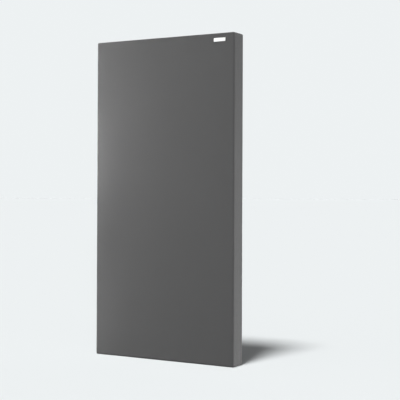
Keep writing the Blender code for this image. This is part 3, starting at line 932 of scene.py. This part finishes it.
def addStaples():
    half, wire, flat = staples["crown"] / 2, staples["wire"] / 2, staples["flat"]
    one = addBlock("staple", (-half, -wire, 0), (half, wire, flat))
    startEdit(one)
    for side in (-1, 1):
        pickAll()
        cutAcross((side * (half - flat), 0, 0), (1, 0, 0))
    pickFaces(lambda c, n: n.z < -0.9 and abs(c.x) > half - flat)
    extrude(0, 0, -staples["legs"])
    # the crown's long edges and its two ends
    pickEdges(lambda a, b: min(a.z, b.z) > flat - 1e-4
              and (abs(a.x - b.x) > 0.004 or abs(a.x + b.x) > 2 * half - 1e-5))
    soften(staples["ease"], 1)
    faceOutwards()
    endEdit()
    made = []
    for x, z, turn in stapleSeats():
        # lying on the back, with its crown turned in the plane of the cloth
        each = copyTo(one, "staple", (0, 0, 0), (math.radians(-90), 0, 0))
        turned = Matrix.Rotation(math.radians(turn), 4, "Y")
        each.data.transform(Matrix.Translation((x, back + staples["seat"], z)) @ turned)
        made.append(each)
    bpy.data.objects.remove(one)
    select(*made)
    bpy.ops.object.join()
    piece = bpy.context.object
    piece.name = piece.data.name = "hemStaples"
    smoothShade(piece, 30)
    dress(piece, zinc)
    print("staples", len(made))
    return piece


hemStaples = addStaples()

# Dust cover on the back, under the hem, a little slack between the members
backing = {
    "thick": 0.0004,
    "meshStep": 0.0074,
    "deep": 0.0015,                # its middle, from the plane of the back
    "bays": (0.300, 0.900),        # heights of their middles
    "sag": -0.0016,
    "sagRadius": (0.05, 0.19),     # moved as one, and moved along with it
    "wrinkle": 0.0010,
    "member": 0.0293,              # the frame's inner face, from the panel's edge
    "brace": 0.035,                # half its width
    "corner": (0.19, 0.49, 0.09),  # the open bay's arc beside a corner block: centre and radius
    "fade": 0.03,
}


def addSheet(name, size, y, step):
    columns, rows = round(size[0] / step), round(size[1] / step)
    select()
    bpy.ops.mesh.primitive_grid_add(x_subdivisions=columns, y_subdivisions=rows, size=1,
                                    location=(0, y, halfHeight), rotation=(math.radians(90), 0, 0))
    return settle(name, (size[0], size[1], 1))


def openBay(p):
    # 0 over the frame, the blocks and the brace, 1 well inside an open bay
    x, z = abs(p.x), abs(p.z - halfHeight)
    arcX, arcZ, radius = backing["corner"]
    inside = min(halfWidth - backing["member"] - x, halfHeight - backing["member"] - z,
                 z - backing["brace"], radius - math.hypot(max(0, x - arcX), max(0, z - arcZ)))
    return share(inside, 0, backing["fade"])


def addBackCloth():
    piece = addSheet("backCloth", (0.584, 1.184), back - backing["deep"], backing["meshStep"])
    near, far = backing["sagRadius"]
    startEdit(piece)
    for middle in backing["bays"]:
        pickVerts(lambda p: math.hypot(p.x, p.z - middle) < near)
        pull(backing["sag"], far)
    pickAll()
    bpy.ops.uv.cube_project(cube_size=1.0)
    endEdit()
    bay = weigh(piece, "bay", openBay)
    roughen(piece, "slackWrinkles", 0.055, 3, backing["wrinkle"], 0.75,
            direction="Y", vertex_group=bay)
    thicken(piece, backing["thick"])
    smoothShade(piece, 60)
    dress(piece, nonwoven)
    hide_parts("back_cloth")
    print("back cloth", len(piece.data.polygons), "faces")


addBackCloth()

# White fleece under the cover, and the slab in the frame: both hidden
lining = {"deep": 0.00205, "thick": 0.0012, "meshStep": 0.011, "loft": 0.0002}
slab = {"edgeRound": 0.0025, "meshStep": 0.015, "rough": 0.0010}


def addFleece():
    piece = addSheet("fleece", (0.5925, 1.1925), lining["deep"] - back, lining["meshStep"])
    roughen(piece, "fleeceLoft", 0.02, 2, lining["loft"], 0.5, direction="Y")
    thicken(piece, lining["thick"])
    smoothShade(piece, 60)
    dress(piece, fleeceFelt)
    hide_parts("fleece_liner")


def addSlab():
    low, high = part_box("core_slab")
    piece = addBlock("mineralSlab", low, high)
    step, edge = slab["meshStep"], slab["edgeRound"]
    startEdit(piece)
    pickAll()
    soften(edge, 3)
    for axis in range(3):
        count = round((high[axis] - low[axis]) / step)
        divideAlong(axis, low[axis] + edge, high[axis] - edge, count)
    endEdit()
    roughen(piece, "slabSurface", 0.009, 3, slab["rough"], 1.0)
    smoothShade(piece, 50)
    dress(piece, mineral)
    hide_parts("core_slab")


addFleece()
addSlab()
print("fleece and slab")

# Hangers: a strap folded round the ring's straight side, and a ring that swings in it
hanger = {
    "axis": (0.2847, back + 0.003, 1.050),
    "width": 0.012,
    "steel": 0.001,
    "eye": 0.0022,        # radius of the strap's middle round the bar
    "layerGap": 0.0002,
    "neck": 60,           # degrees past the half turn, and bent back below
    "length": 0.04505,    # below the axis
    "holes": (0.02205, 0.03805),
    "hole": 0.0023,
    "softEdge": 0.00018,
}
ring = {
    "half": 0.00845,    # half the width, to the wire's middle
    "reach": 0.0145,    # from the axis to the far end of the bow
    "corner": 0.0025,
    "wire": 0.00125,
    "out": 5.02,        # degrees from the back, where it hangs
}


def addStrap():
    half, radius, length = hanger["width"] / 2, hanger["eye"], hanger["length"]
    neck = math.radians(hanger["neck"])
    cos, sin = math.cos(neck), math.sin(neck)
    # the straight between the eye and the bend that brings the layers together
    layers = hanger["steel"] + hanger["layerGap"]
    slope = (2 * radius * cos - layers) / sin
    centre = (0, 2 * radius * cos - slope * sin, -2 * radius * sin - slope * cos)
    select()
    bpy.ops.mesh.primitive_plane_add(size=2 * half, location=(0, -half - radius, -length))
    piece = settle("hangerStrap")
    startEdit(piece)
    pickVerts(lambda p: p.y < -radius - half)
    bpy.ops.mesh.delete(type="VERT")
    pickAll()
    extrude(0, 0, length)
    bpy.ops.mesh.spin(steps=20, angle=math.pi + neck, center=(0, 0, 0), axis=(1, 0, 0))
    extrude(0, -slope * sin, -slope * cos)
    bpy.ops.mesh.spin(steps=6, angle=-neck, center=centre, axis=(1, 0, 0))
    extrude(0, 0, -length - centre[2])
    # the round ends of both layers
    pickVerts(lambda p: p.z < 0.0001 - length)
    bpy.ops.mesh.bevel(offset=half * 0.995, segments=9, affect="VERTICES")
    pickAll()
    bpy.ops.mesh.remove_doubles(threshold=0.00001)
    endEdit()
    thicken(piece, hanger["steel"])
    for drop in hanger["holes"]:
        select()
        bpy.ops.mesh.primitive_cylinder_add(vertices=28, radius=hanger["hole"], depth=0.02,
                                            location=(0, 0, -drop),
                                            rotation=(math.radians(90), 0, 0))
        drill = bpy.context.object
        modify(piece, "BOOLEAN", operation="DIFFERENCE", solver="EXACT", object=drill)
        bpy.data.objects.remove(drill)
    modify(piece, "BEVEL", width=hanger["softEdge"], segments=2, limit_method="ANGLE",
           angle_limit=math.radians(50), use_clamp_overlap=True)
    smoothShade(piece, 40)
    return piece


def addRing():
    bow = ring["half"] - ring["reach"]    # height of the bow's middle, from the axis
    select()
    bpy.ops.mesh.primitive_circle_add(vertices=48, radius=ring["half"], location=(0, 0, bow),
                                      rotation=(math.radians(90), 0, 0))
    piece = settle("ring")
    startEdit(piece)
    pickVerts(lambda p: p.z > bow + 1e-5)
    bpy.ops.mesh.delete(type="VERT")
    pickVerts(lambda p: p.z > bow - 1e-5)
    bpy.ops.mesh.extrude_vertices_move(TRANSFORM_OT_translate={"value": (0, 0, -bow)})
    bpy.ops.mesh.edge_face_add()
    bpy.ops.mesh.bevel(offset=ring["corner"], segments=8, affect="VERTICES")
    endEdit()
    bpy.ops.object.convert(target="CURVE")
    piece = bpy.context.object
    piece.data.bevel_depth = ring["wire"]
    piece.data.bevel_resolution = 5
    piece.data.use_fill_caps = True
    bpy.ops.object.convert(target="MESH")
    piece = bpy.context.object
    smoothShade(piece, 60)
    return piece


def addHangers():
    strap, loop = addStrap(), addRing()
    x, y, z = hanger["axis"]
    for side, sx in (("left", -1), ("right", 1)):
        # left and right as seen from the front
        piece = copyTo(strap, side + "Strap", (sx * x, y, z))
        dress(piece, zinc)
        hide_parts(side + "_hanger_strap")
        piece = copyTo(loop, side + "Ring", (sx * x, y, z), (math.radians(ring["out"]), 0, 0))
        dress(piece, zinc, side + "_ring")
        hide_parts(side + "_ring")
    bpy.data.objects.remove(strap)
    bpy.data.objects.remove(loop)


addHangers()
print("hangers")

# Pan-head screws with a cross recess
panScrew = {
    "head": 0.0038, "height": 0.0024, "dome": 0.0017,
    "shank": 0.0020, "core": 0.0014, "length": 0.025, "point": 0.006, "tip": 0.08,
    "plain": 0.006, "step": 0.0006,    # the shank above the thread, and its taper to the core
    "threads": 14, "ridge": 0.0005, "ridgeOut": 0.00008,
    "recess": 0.0046, "slot": 0.0009, "recessDepth": 0.0014, "recessTaper": (0.45, 0.8, 1),
    "onHanger": back + 0.0028, "onBumper": back + 0.0036,    # the undersides of the heads
    "seed": 3,
}


def addCylinder(name, vertices, radius, height):
    # standing on the origin
    select()
    bpy.ops.mesh.primitive_cylinder_add(vertices=vertices, radius=radius, depth=height,
                                        location=(0, 0, height / 2))
    return settle(name)


def addPanScrew():
    head, height, shank = panScrew["head"], panScrew["height"], panScrew["shank"]
    core, point = panScrew["core"], panScrew["point"]
    top = panScrew["plain"] + panScrew["step"]
    long = panScrew["length"] - point - top    # the threaded length, down to the point
    piece = addCylinder("panScrew", 32, head, height)
    startEdit(piece)
    pickEdges(lambda a, b: min(a.z, b.z) > height - 1e-5)
    soften(panScrew["dome"], 7)
    pickFaces(lambda c, n: n.z < -0.9 and c.z < 1e-5)
    bpy.ops.mesh.inset(thickness=head - shank)
    extrude(0, 0, -panScrew["plain"])
    extrude(0, 0, -panScrew["step"])
    narrow(core / shank)
    extrude(0, 0, -long)
    extrude(0, 0, -point)
    narrow(panScrew["tip"])
    endEdit()
    half, slot, deep = panScrew["recess"] / 2, panScrew["slot"] / 2, panScrew["recessDepth"]
    for turn in (0, 90):
        blade = addBlock("blade", (-half, -slot, height - deep), (half, slot, height + 0.001))
        startEdit(blade)
        pickVerts(lambda p: p.z < height)
        bpy.ops.transform.resize(value=panScrew["recessTaper"])
        endEdit()
        blade.rotation_euler = (0, 0, math.radians(turn))
        modify(piece, "BOOLEAN", operation="DIFFERENCE", solver="EXACT", object=blade)
        bpy.data.objects.remove(blade)
    # the thread: one turn of a ridge, repeated down the core and three times round the point
    pitch = long / (panScrew["threads"] - 3)
    select()
    bpy.ops.mesh.primitive_circle_add(vertices=3, radius=panScrew["ridge"],
                                      location=(core + panScrew["ridgeOut"], 0, -top),
                                      rotation=(math.radians(90), 0, 0), fill_type="NOTHING")
    ridge = settle("ridge")
    modify(ridge, "SCREW", axis="Z", steps=18, render_steps=18, screw_offset=-pitch,
           iterations=panScrew["threads"], use_merge_vertices=False)
    startEdit(ridge)
    pickAll()
    bpy.ops.mesh.region_to_loop()
    bpy.ops.mesh.edge_face_add()
    faceOutwards()
    endEdit()
    for vert in ridge.data.vertices:
        # narrower where the core comes to its point
        fit = max(0.05, 1 - share(-vert.co.z, top + long, top + long + point))
        vert.co.x *= fit
        vert.co.y *= fit
    select(piece, ridge)
    bpy.ops.object.join()
    smoothShade(piece, 35)
    return piece


def addPanScrews():
    screw = addPanScrew()
    x, _, z = hanger["axis"]
    seats = {}
    for side, sx in (("left", -1), ("right", 1)):
        for place, drop in zip(("upper", "lower"), hanger["holes"]):
            seats[f"hanger_screw_{side}_{place}"] = (sx * x, panScrew["onHanger"], z - drop)
        for place, sz in (("bottom", -1), ("top", 1)):
            seats[f"bumper_screw_{place}_{side}"] = (
                sx * bumperAt[0], panScrew["onBumper"], halfHeight + sz * bumperAt[1])
    chance = random.Random(panScrew["seed"])
    for nodeName, seat in seats.items():
        words = nodeName.split("_")
        name = words[0] + "Screw" + "".join(word.capitalize() for word in words[2:])
        piece = copyTo(screw, name, seat, (math.radians(-90), 0, 0))
        turn = Matrix.Rotation(chance.uniform(0, math.pi), 4, "Y")
        middle = Matrix.Translation(seat)
        piece.data.transform(middle @ turn @ middle.inverted())
        dress(piece, zinc)
        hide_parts(nodeName)
    bpy.data.objects.remove(screw)


addPanScrews()
print("pan screws")

# Rubber bumpers that keep the back off the wall
bumper = {
    "radius": 0.010, "top": 0.009, "height": 0.007, "round": 0.0012, "foot": 0.0003,
    "rim": 0.0050, "lip": (0.0046, 0.0003), "well": 0.0044, "floor": 0.003, "bore": 0.0023,
    "seat": back + 0.0003,
}


def insetTo(inner, wanted):
    # a round face gets a ring down to that radius, and what is left of it stays selected
    pickFaces(wanted)
    shape = bmesh.from_edit_mesh(bpy.context.object.data)
    outer = max(math.hypot(v.co.x, v.co.y) for v in shape.verts if v.select)
    bpy.ops.mesh.inset(thickness=outer - inner)


def addBumper():
    height, bore, well = bumper["height"], bumper["bore"], bumper["well"]
    piece = addCylinder("bumper", 48, bumper["radius"], height)
    startEdit(piece)
    pickFaces(lambda c, n: n.z > 0.9)
    narrow(bumper["top"] / bumper["radius"])
    pickEdges(lambda a, b: min(a.z, b.z) > height - 1e-5)
    soften(bumper["round"], 5)
    pickEdges(lambda a, b: max(a.z, b.z) < 1e-5)
    soften(bumper["foot"], 2)
    # the well for the screw's head, with a rounded lip
    across = bumper["rim"]
    insetTo(across, lambda c, n: n.z > 0.9 and c.z > height - 1e-5)
    lip, drop = bumper["lip"]
    rest = height - bumper["floor"] - 2 * drop
    for radius, depth in ((lip, drop), (well, drop), (well, rest)):
        extrude(0, 0, -depth)
        narrow(radius / across)
        across = radius
    bpy.ops.mesh.inset(thickness=well - bore)
    bpy.ops.mesh.delete(type="FACE")
    insetTo(bore, lambda c, n: n.z < -0.9 and c.z < 1e-5)
    bpy.ops.mesh.delete(type="FACE")
    pickEdges(lambda a, b: all(abs(math.hypot(p.x, p.y) - bore) < 5e-5 for p in (a, b)))
    bpy.ops.mesh.bridge_edge_loops()
    faceOutwards()
    endEdit()
    smoothShade(piece, 35)
    return piece


def addBumpers():
    form = addBumper()
    for side, sx in (("left", -1), ("right", 1)):
        for place, sz in (("bottom", -1), ("top", 1)):
            name = "bumper" + place.capitalize() + side.capitalize()
            seat = sx * bumperAt[0], bumper["seat"], halfHeight + sz * bumperAt[1]
            piece = copyTo(form, name, seat, (math.radians(-90), 0, 0))
            dress(piece, rubber)
            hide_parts(f"wall_bumper_{place}_{side}")
    bpy.data.objects.remove(form)


addBumpers()
print("bumpers")

# Small blank plate at the top corner of the front
badge = {"corner": 0.0012, "ease": 0.00035}


def addBadge():
    low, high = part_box("badge")
    piece = addBlock("blankBadge", low, high)
    startEdit(piece)
    pickEdges(lambda a, b: abs(a.y - b.y) > 0.0005)
    soften(badge["corner"], 8)
    pickEdges(lambda a, b: max(a.y, b.y) < low.y + 1e-5)
    soften(badge["ease"], 4)
    endEdit()
    smoothShade(piece, 30)
    dress(piece, plastic)
    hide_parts("badge")


addBadge()
print("badge")

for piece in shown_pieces():
    litByFills.objects.link(piece)
